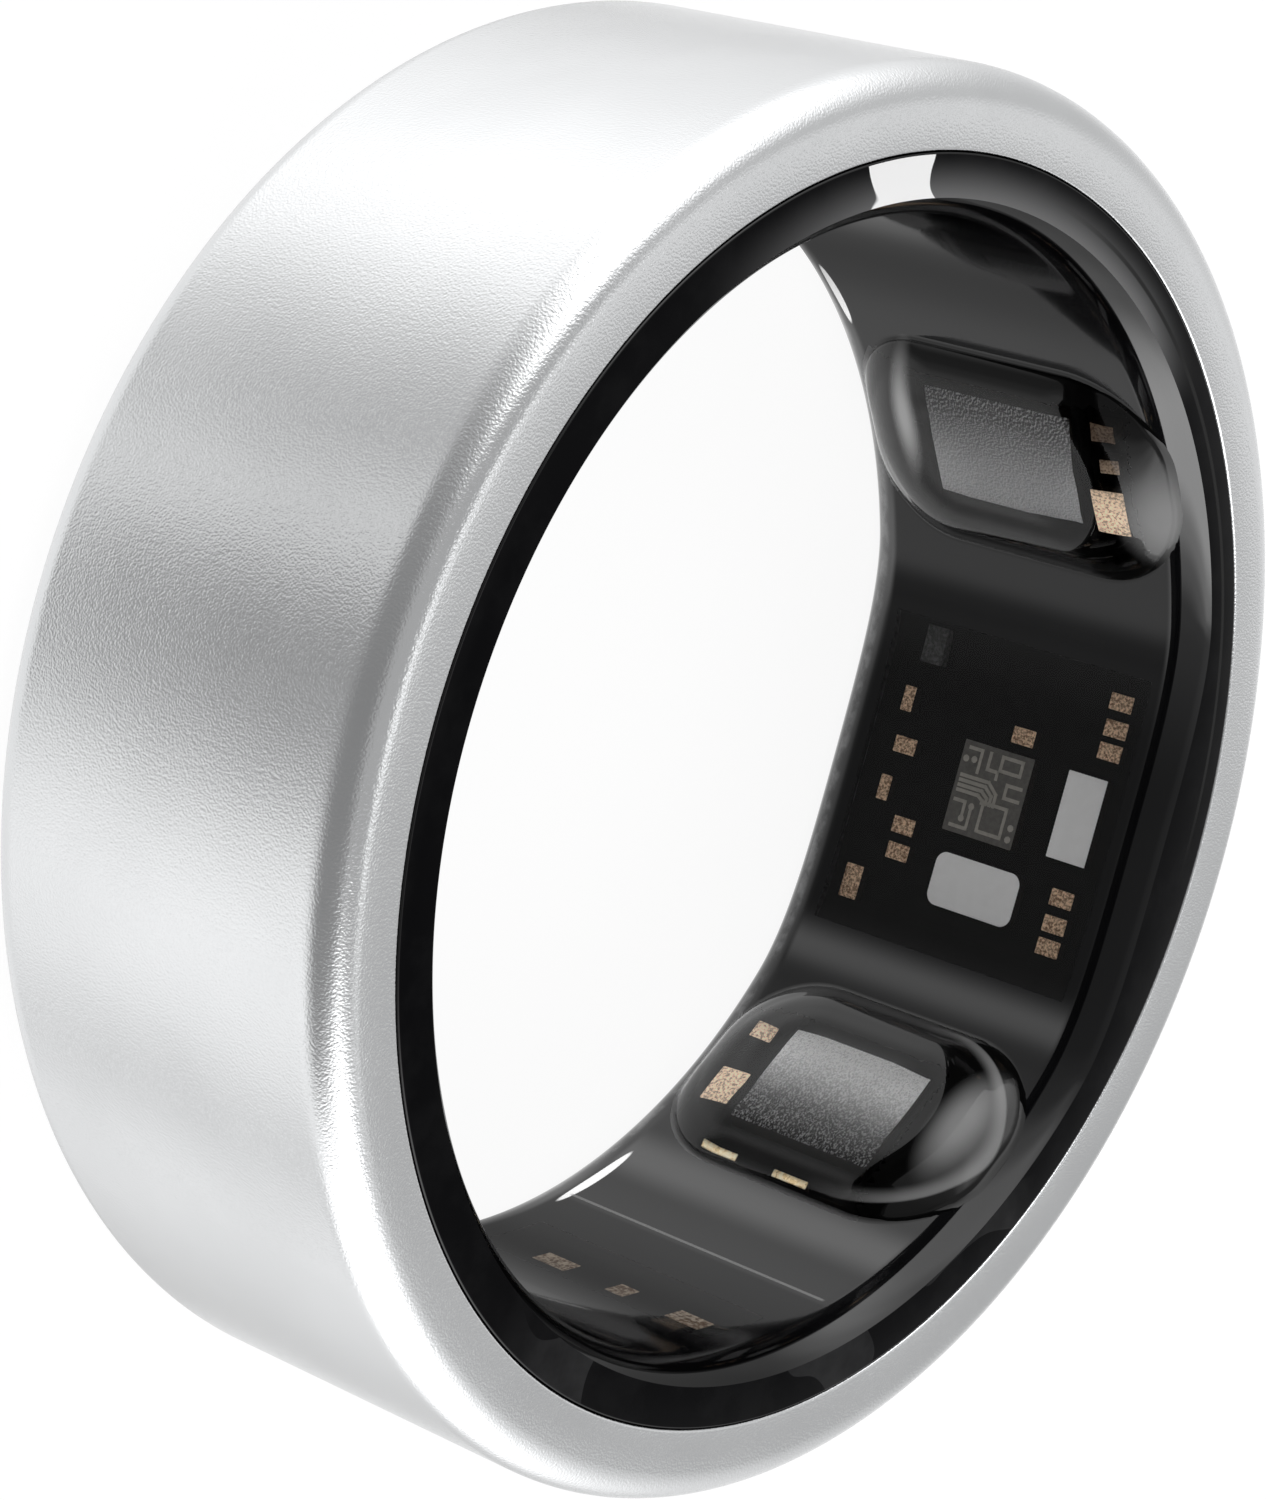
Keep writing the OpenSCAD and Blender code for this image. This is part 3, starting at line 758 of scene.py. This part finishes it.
def liner_slot(middle):
    """Material slot for a face of the liner, by its middle."""
    across = Vector((-sin(FLAT_ANGLE), cos(FLAT_ANGLE), 0))
    turn = atan2(middle.y, middle.x)
    on_side = abs(turn) < WINDOW_SIDE_TURN
    in_window = on_side and abs(middle.dot(across)) < WINDOW_HALF_L and abs(middle.z) < WINDOW_HALF_W
    in_power = abs(turn - POWER_ANGLE) < POWER_WINDOW_HALF and abs(middle.z) < POWER_WINDOW_HALF_W
    if abs(middle.z) > SIDE_FACE_START:
        return SIDE_SLOT
    if abs(middle.z) < MASK_HALF_W and middle.xy.length > MASK_START_R:
        return MASK_SLOT
    return CLEAR_SLOT if in_window or in_power else 0


def add_liner(dark, clear, edge, mask):
    """Slots: smoked resin, clear windows, side faces, and the black behind what is clear."""
    liner = swept("resin_sleeve", liner_section, dark, clear, edge, mask)
    pocket_half = board_l / 2 + pocket_side_gap
    pocket = [(pocket_half, channel_half), (-pocket_half, channel_half),
              (-pocket_half, -channel_half), (pocket_half, -channel_half)]
    cutters = [radial_prism(pocket, board_x + POTTING_OVERLAP, CUT_END, FLAT_ANGLE)]
    carve(liner, cutters + seat_cutters(UPPER_ANGLE) + seat_cutters(LOWER_ANGLE))
    for face in liner.data.polygons:
        slot = liner_slot(face.center)
        if slot:
            face.material_index = slot
    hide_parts("inner_liner")


# Domes

DOME_RINGS = 22
CROWN_RINGS = 8
SKIRT_RINGS = 4
DOME_SKIRT = 0.16 * MM
DOME_SKIRT_RISE = 0.05 * MM
DOME_CORNER_STEPS = 16
DOME_SLOPE = radians(58)
DOME_CREASE = radians(60)
# How far the crown's edge lies in from the border, across the ring and along it, the crown's share of the
# height, and the largest corner as a share of the half width
DOME_BORDER_SHARES = (0.56, 0.46)
DOME_CROWN_SHARE = 0.12
DOME_CORNER_SHARE = 0.95
BELOW_WALL = 0.02 * MM
LENS_IOR = 1.42
# Where each lens is clear, in millimetres along the turn and along the bore
UPPER_CLEAR = ((-1.6, 1.78), (-3.6, 2.95))
LOWER_CLEAR = ((-2.4, 1.1), (-3.6, 1.95))
# Painted reflection on a dome, a spot of soft grey light: its middle and half sizes in millimetres along
# the turn and the bore, the shares of them where it starts, is full and begins to fade, and its strength
Spot = namedtuple("Spot", "s z half_s half_z rise full fade strength")
UPPER_SPOTS = (Spot(s=0.8, z=-2.0, half_s=1.7, half_z=0.4, rise=-1, full=0, fade=0.1, strength=0.9),
               Spot(s=-0.6, z=3.3, half_s=1.4, half_z=0.85, rise=-1, full=0, fade=0.1, strength=0.4))
LOWER_SPOTS = (Spot(s=0.0, z=1.2, half_s=2.12, half_z=2.25, rise=0.86, full=0.97, fade=0.98, strength=0.38),
               Spot(s=0.25, z=2.7, half_s=1.6, half_z=0.62, rise=-1, full=0, fade=0.1, strength=0.52))


def wall_x(s, z):
    return sqrt((bore_r + lip_drop(z)) ** 2 - s * s)


def skirt_ring(share):
    """Points of the hollow fillet round the dome, from its thin outer edge to the foot of the slope."""
    out = DOME_SKIRT * (1 - share)
    outline = round_outline(dome_w / 2 + out, dome_l / 2 + out, dome_corner_r + out, DOME_CORNER_STEPS)
    return [(wall_x(s, z) - DOME_SKIRT_RISE * share ** 2, s, z) for s, z in outline]


def dome_ring(share):
    """Points of the dome at a share of its border, from the seat to the crown."""
    slope = DOME_SLOPE * (1 - share)
    inset = 1 - sin(slope) / sin(DOME_SLOPE)
    rise = (cos(slope) - cos(DOME_SLOPE)) / (1 - cos(DOME_SLOPE))
    half_s = (dome_w / 2 + POTTING_OVERLAP) * (1 - DOME_BORDER_SHARES[0] * inset)
    half_z = (dome_l / 2 + POTTING_OVERLAP) * (1 - DOME_BORDER_SHARES[1] * inset)
    corner = min(dome_corner_r, DOME_CORNER_SHARE * half_s)
    lift = DOME_SKIRT_RISE + (dome_h * (1 - DOME_CROWN_SHARE) - DOME_SKIRT_RISE) * rise
    outline = round_outline(half_s, half_z, corner, DOME_CORNER_STEPS)
    return [(wall_x(s, z) - lift, s, z) for s, z in outline]


def crown_rings(count):
    """Rings that close the crown, each a smaller copy that climbs to the top."""
    edge = dome_ring(1)
    top = bore_r - dome_h
    rings = []
    for k in range(1, count):
        share = 1 - k / count
        rings.append([(top + (x - top) * share ** 2, s * share, z * share) for x, s, z in edge])
    return rings


def lens_rings():
    """All rings of the lens, from the bottom of its well to the crown."""
    seat_x = lens_back_x + POTTING_OVERLAP
    seat = [(seat_x, s, z) for x, s, z in dome_ring(0)]
    well = round_outline(sensor_opening_w / 2 + POTTING_OVERLAP, sensor_opening_l / 2 + POTTING_OVERLAP,
                         OPENING_CORNER_R, DOME_CORNER_STEPS)
    rings = [[(x, s, z) for s, z in well] for x in (potted_r, seat_x)]
    rings += [seat, [(wall_x(s, z) + BELOW_WALL, s, z) for x, s, z in seat]]
    rings += [[(x + BELOW_WALL, s, z) for x, s, z in skirt_ring(0)]]
    rings += [skirt_ring(i / SKIRT_RINGS) for i in range(SKIRT_RINGS)]
    return rings + [dome_ring(i / DOME_RINGS) for i in range(DOME_RINGS + 1)] + crown_rings(CROWN_RINGS)


def add_dome(name, node, angle, clear, *materials):
    """The lens, with the first material where it is clear and the second elsewhere."""
    rings = lens_rings()
    count = len(rings[0])
    verts = [p for ring in rings for p in ring] + [(bore_r - dome_h, 0, 0)]
    faces = [tuple(range(count))]
    for k in range(len(rings) - 1):
        for i in range(count):
            j = (i + 1) % count
            faces.append((k * count + i, k * count + j, (k + 1) * count + j, (k + 1) * count + i))
    last = (len(rings) - 1) * count
    faces += [(last + i, last + (i + 1) % count, len(verts) - 1) for i in range(count)]
    mesh = bpy.data.meshes.new(name)
    mesh.from_pydata(verts, [], faces)
    clear_s, clear_z = clear
    for face in mesh.polygons:
        _, s, z = face.center / MM
        if not (clear_s[0] < s < clear_s[1] and clear_z[0] < z < clear_z[1]):
            face.material_index = 1
    mesh.transform(Matrix.Rotation(angle, 4, "Z"))
    merge_points(mesh)
    face_out(mesh)
    smooth(mesh, DOME_CREASE)
    dome = link(name, mesh, *materials)
    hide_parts(node)


# Circuit pieces

PIECE_EDGE_R = 0.02 * MM


def dress_seen(board, mould):
    """Finishes for the pieces that show behind the resin, each with its edges rounded."""
    copper = plain_finish("speckled_copper", (0.28, 0.16, 0.10), (1.0, 0.73, 0.50), grain=COPPER_GRAIN,
                          depth=COPPER_DEPTH, glow=0.02)
    can = plain_finish("brushed_can", (0.95, 0.95, 0.95), (0.99, 0.99, 0.99), grain=CAN_GRAIN,
                       depth=CAN_DEPTH, glow=0.05)
    die = plain_finish("radio_die", (0.15, 0.145, 0.135), (0.18, 0.172, 0.16))
    upper_grain_painted_light = sensor_grain_painted_light("upper_grain_painted_light", UPPER_ANGLE, UPPER_GRAIN_SHADE, 0.82, 0.0)
    lower_grain_painted_light = sensor_grain_painted_light("lower_grain_painted_light", LOWER_ANGLE, LOWER_GRAIN_SHADE, 1.0, 0.2)
    barrier = plain_finish("barrier_black", (0.002, 0.002, 0.002), (0.004, 0.004, 0.004))
    gold = plain_finish("gold_bar", (0.90, 0.68, 0.38), (1.0, 0.91, 0.66), 0.3, GOLD_GRAIN, GOLD_DEPTH,
                        metallic=0.5)
    upper_contact = contact_metal_painted_light("upper_copper_painted_light", UPPER_ANGLE, UPPER_CONTACT_SHADE, 0.5)
    lower_contact = contact_metal_painted_light("lower_copper_painted_light", LOWER_ANGLE, LOWER_CONTACT_SHADE, 0.3)
    # Painted shade: one dark copy for the sides of the pieces that don't face the bore
    side = plain_finish("chip_side_painted_shade", (0.012, 0.010, 0.008), (0.02, 0.016, 0.013))
    led = plain_finish("led_die", (0.003, 0.003, 0.003), (0.008, 0.008, 0.008))
    one_finish = {
        "main_board": board, "temperature_sensor": mould, "upper_light_barriers": barrier,
        "lower_light_barriers": barrier, "upper_leds": led, "lower_leds": led,
    }
    for node, mat in one_finish.items():
        rounded_copy(node, PIECE_EDGE_R, mat)
    shade_sided = {
        "upper_photodiode": (upper_grain_painted_light, UPPER_ANGLE), "lower_photodiode": (lower_grain_painted_light, LOWER_ANGLE),
        "upper_contacts": (upper_contact, UPPER_ANGLE), "lower_contacts": (lower_contact, LOWER_ANGLE),
        "terminal_bars": (gold, LOWER_ANGLE), "crystal_can": (can, FLAT_ANGLE),
        "clock_can": (can, FLAT_ANGLE), "radio_chip": (die, FLAT_ANGLE),
        "chip_capacitors": (copper, FLAT_ANGLE), "chip_resistors": (copper, FLAT_ANGLE),
        "storage_capacitor": (copper, FLAT_ANGLE),
    }
    for node, (mat, angle) in shade_sided.items():
        rounded_copy(node, PIECE_EDGE_R, mat, side, facing=angle)
    add_tracks(plain_finish("die_tracks", (0.42, 0.40, 0.36), (0.48, 0.455, 0.41)))


def dress_hidden(board, mould):
    """Finishes for the pieces that keep their own meshes, most of them hidden in the channel."""
    pad = plain_finish("pad_copper", (0.30, 0.18, 0.11), (1.0, 0.82, 0.62), grain=PAD_GRAIN,
                       depth=COPPER_DEPTH, glow=0.25)
    flex = plain_finish("flex_amber", (0.02, 0.012, 0.006), (0.03, 0.018, 0.008), 0.35)
    foil = plain_finish("battery_foil", (0.45, 0.46, 0.47), (0.6, 0.61, 0.62), 0.35, FOIL_GRAIN,
                        metallic=0.8)
    tab = plain_finish("nickel_tab", (0.6, 0.59, 0.57), (0.72, 0.71, 0.69), 0.3, metallic=1.0)
    film = plain_finish("adhesive_film", (0.4, 0.33, 0.1), (0.5, 0.42, 0.15), 0.3)
    insulator = plain_finish("insulating_film", (0.01, 0.01, 0.01), (0.02, 0.02, 0.02), 0.4)
    coil = plain_finish("coil_copper", (0.5, 0.22, 0.1), (0.7, 0.36, 0.2), 0.35, metallic=0.9)
    ferrite = plain_finish("ferrite", (0.03, 0.03, 0.03), (0.06, 0.06, 0.06), 0.6)
    finishes = {
        "upper_sensor_board": board, "lower_sensor_board": board, "power_board": board,
        "power_contacts": pad, "flex_upper": flex, "flex_lower": flex, "flex_power": flex,
        "flex_tail": flex, "antenna_strip": flex, "optical_driver_chip": mould, "power_chip": mould,
        "motion_sensor": mould, "memory_chip": mould, "power_inductor": ferrite,
        "protection_chip": mould, "battery_cell": foil, "battery_tabs": tab,
        "battery_adhesive": film, "insulating_film": insulator, "charging_coil": coil,
        "ferrite_sheet": ferrite,
    }
    for node, mat in finishes.items():
        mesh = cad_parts[node].data
        mesh.materials.clear()
        mesh.materials.append(mat)


# Tracks on the radio chip

TRACK_W = 0.07 * MM
TRACK_T = 0.012 * MM
# Each track's points as shares of the die's half sides, across and along the ring
TRACK_SHARES = (
    ((-0.85, 0.24), (-0.05, 0.24), (0.22, 0.03), (0.22, -0.22)),
    ((-0.85, 0.13), (-0.12, 0.13), (0.11, -0.03), (0.11, -0.22)),
    ((-0.85, 0.02), (-0.19, 0.02), (0.00, -0.10), (0.00, -0.22)),
    ((-0.85, -0.09), (-0.26, -0.09), (-0.11, -0.17), (-0.11, -0.22)),
    ((0.10, -0.20), (0.62, -0.20), (0.62, -0.82), (-0.05, -0.82), (-0.05, -0.20), (0.10, -0.20)),
    ((-0.80, 0.85), (-0.45, 0.85), (-0.45, 0.38)),
    ((-0.20, 0.85), (-0.20, 0.50), (0.10, 0.50), (0.10, 0.36)),
    ((0.15, 0.85), (0.72, 0.85), (0.72, 0.55), (0.15, 0.55), (0.15, 0.85)),
    ((0.85, 0.30), (0.45, 0.30), (0.45, 0.02), (0.85, 0.02)),
    ((-0.85, -0.30), (-0.55, -0.30), (-0.55, -0.60)),
    ((-0.35, -0.40), (-0.35, -0.85), (-0.80, -0.85)),
)
PAD_SHARES = ((-0.55, -0.66), (-0.35, -0.36), (-0.85, 0.60), (-0.62, 0.62), (0.85, -0.55), (0.85, -0.80))
PAD_SIDE = 0.14 * MM
PAD_CORNERS = 8


def track_outlines(s_ends, z_ends):
    """Outlines of the pads and of each track's straight runs, between the die's edges along s and z."""
    def on_die(z, s):
        return Vector((s_ends[0] + (s_ends[1] - s_ends[0]) * (s + 1) / 2,
                       z_ends[0] + (z_ends[1] - z_ends[0]) * (z + 1) / 2))

    last = 360 - 360 / PAD_CORNERS
    outlines = [arc(on_die(*pad), PAD_SIDE / 2, 0, last, PAD_CORNERS - 1) for pad in PAD_SHARES]
    for track in TRACK_SHARES:
        points = [on_die(*point) for point in track]
        for start, end in zip(points, points[1:]):
            run = (end - start).normalized() * TRACK_W / 2
            side = Vector((-run.y, run.x))
            outlines.append([start - run + side, end + run + side, end + run - side, start - run - side])
    return outlines


def add_tracks(mat):
    """Raised printed tracks and pads, a generic pattern on the die's face."""
    unturn = Matrix.Rotation(-FLAT_ANGLE, 4, "Z")
    corners = [unturn @ v.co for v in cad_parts["radio_chip"].data.vertices]
    face_x = min(c.x for c in corners)
    s_ends = (min(c.y for c in corners), max(c.y for c in corners))
    z_ends = (min(c.z for c in corners), max(c.z for c in corners))
    bm = bmesh.new()
    turn = Matrix.Rotation(FLAT_ANGLE, 4, "Z")
    for outline in track_outlines(s_ends, z_ends):
        rings = [[bm.verts.new(turn @ Vector((x, s, z))) for s, z in outline]
                 for x in (face_x - TRACK_T, face_x + TRACK_T)]
        count = len(outline)
        bm.faces.new(rings[0])
        bm.faces.new(rings[1][::-1])
        for k in range(count):
            j = (k + 1) % count
            bm.faces.new((rings[0][k], rings[0][j], rings[1][j], rings[1][k]))
    bmesh.ops.recalc_face_normals(bm, faces=bm.faces)
    mesh = bpy.data.meshes.new("chip_tracks")
    bm.to_mesh(mesh)
    bm.free()
    link("chip_tracks", mesh, mat)


# Studio

# Light that metal and gloss mirror, by azimuth in degrees, below the horizon and above it
LOW_LEVELS = ((-180, 0.31), (-170, 0.46), (-156, 0.88), (-140, 1.07), (-124, 0.96), (-108, 0.68),
              (-92, 0.95), (-76, 0.85), (-60, 0.72), (-46, 0.64), (-34, 0.90), (-18, 0.98), (10, 0.92),
              (28, 0.74), (44, 0.92), (60, 1.02), (76, 1.18), (92, 1.40), (108, 1.10), (122, 0.64),
              (137, 0.44), (152, 0.76), (168, 0.30))
HIGH_LEVELS = ((-180, 0.24), (-150, 0.26), (-136, 0.30), (-127, 0.74), (-119, 1.40), (-106, 2.60),
               (-80, 2.60), (-64, 1.60), (-52, 1.05), (-40, 0.76), (-30, 0.64), (-22, 0.46), (-9, 0.50),
               (-2, 0.84), (6, 0.72), (20, 0.58), (34, 0.60), (44, 0.76), (54, 1.10), (66, 1.60),
               (80, 2.30), (102, 2.20), (115, 1.15), (125, 0.48), (134, 0.38), (150, 0.27))
STUDIO_TOP = 2.6
# Heights on the unit sphere between which the levels change over, and the levels at the top and the bottom
HORIZON_FADE = (-0.45, 0.1)
OVERHEAD_FADE = (0.78, 0.94)
OVERHEAD_LEVEL = 0.42
GROUND_FADE = (-0.72, -0.88)
GROUND_LEVEL = 0.9
# Small cards: azimuth, elevation, inner and outer radius in degrees, level
CARDS = ((-11, 60, 3, 11, 1.3),)
FLOOR_REACH = 0.6
FLOOR_DROP = 0.02 * MM
FLOOR_TONE = (0.12, 0.12, 0.12)
FLOOR_GLOW = 0.92


def level_ramp(n, share, levels):
    """Level by azimuth, the azimuth being a share of the full turn."""
    ramp = n.add("ShaderNodeValToRGB", Fac=share)
    ramp.color_ramp.interpolation = "EASE"
    stops = ramp.color_ramp.elements
    while len(stops) < len(levels) + 1:
        stops.new(0.5)
    for stop, (azimuth, level) in zip(stops, levels + ((180, levels[0][1]),)):
        stop.position = azimuth / 360 + 0.5
        stop.color = (*[level / STUDIO_TOP] * 3, 1)
    return ramp.outputs["Color"]


def add_studio():
    """White for the camera, and a soft pattern of light by direction for everything else."""
    world = bpy.data.worlds.new("studio")
    bpy.context.scene.world = world
    world.use_nodes = True
    world.node_tree.nodes.clear()
    n = Nodes(world.node_tree)
    direction = n.add("ShaderNodeTexCoord").outputs["Generated"]
    x, y, z = n.add("ShaderNodeSeparateXYZ", Vector=direction).outputs
    share = n.math("MULTIPLY_ADD", n.math("ARCTAN2", y, x), 1 / (2 * pi), 0.5)
    low, high = level_ramp(n, share, LOW_LEVELS), level_ramp(n, share, HIGH_LEVELS)
    level = n.times(n.mix(n.step(z, *HORIZON_FADE), low, high), STUDIO_TOP)
    level = n.mix(n.step(z, *OVERHEAD_FADE), level, OVERHEAD_LEVEL)
    level = n.mix(n.step(z, *GROUND_FADE), level, GROUND_LEVEL)
    for azimuth, elevation, inner, outer, card_level in CARDS:
        across = cos(radians(elevation))
        aim = (across * cos(radians(azimuth)), across * sin(radians(azimuth)), sin(radians(elevation)))
        card = n.step(n.dot(direction, aim), cos(radians(outer)), cos(radians(inner)))
        level = n.mix(card, level, card_level)
    level = n.mix(n.add("ShaderNodeLightPath").outputs["Is Camera Ray"], level, 1.0)
    background = n.add("ShaderNodeBackground", Color=WHITE, Strength=level)
    n.add("ShaderNodeOutputWorld", Surface=background.outputs[0])


def add_floor():
    """White floor with a faint shadow, a hair below the ring, which mirrored rays pass through."""
    mat, n, shader, output = new_material("floor_white")
    n.fill(shader, Base_Color=FLOOR_TONE, Roughness=1.0, Specular_IOR_Level=0.0, Emission_Color=WHITE,
           Emission_Strength=FLOOR_GLOW)
    path = n.add("ShaderNodeLightPath")
    clear = n.math("MAXIMUM", path.outputs["Is Glossy Ray"], path.outputs["Is Diffuse Ray"])
    n.fill(output, Surface=n.cover(clear, shader.outputs[0], n.transparent()))
    level = -half_w - FLOOR_DROP
    corners = [(i * FLOOR_REACH, j * FLOOR_REACH, level) for i, j in ((-1, -1), (1, -1), (1, 1), (-1, 1))]
    mesh = bpy.data.meshes.new("floor")
    mesh.from_pydata(corners, [], [(0, 1, 2, 3)])
    mesh.materials.append(mat)
    floor = bpy.data.objects.new("floor", mesh)
    bpy.context.scene.collection.objects.link(floor)


add_camera()
bpy.context.scene.view_settings.view_transform = "Standard"
add_studio()
add_floor()
add_shell(blasted_metal())
board = plain_finish("black_mask", (0.002, 0.002, 0.002), (0.004, 0.004, 0.004), grain=BOARD_GRAIN,
                     depth=BOARD_DEPTH)
mould = plain_finish("chip_mould", (0.06, 0.06, 0.06), (0.11, 0.11, 0.11), grain=MOULD_GRAIN)
add_liner(smoked_resin(), clear_resin("window_resin", WINDOW_IOR), edge_resin(), board)
add_dome("upper_dome", "upper_dome_lens", UPPER_ANGLE, UPPER_CLEAR,
         clear_resin("upper_lens", LENS_IOR, UPPER_ANGLE, UPPER_SPOTS),
         dome_side_resin("upper_lens_side", LENS_IOR, UPPER_ANGLE, UPPER_SPOTS))
add_dome("lower_dome", "lower_dome_lens", LOWER_ANGLE, LOWER_CLEAR,
         clear_resin("lower_lens", LENS_IOR, LOWER_ANGLE, LOWER_SPOTS),
         dome_side_resin("lower_lens_side", LENS_IOR, LOWER_ANGLE, LOWER_SPOTS))
dress_seen(board, mould)
dress_hidden(board, mould)
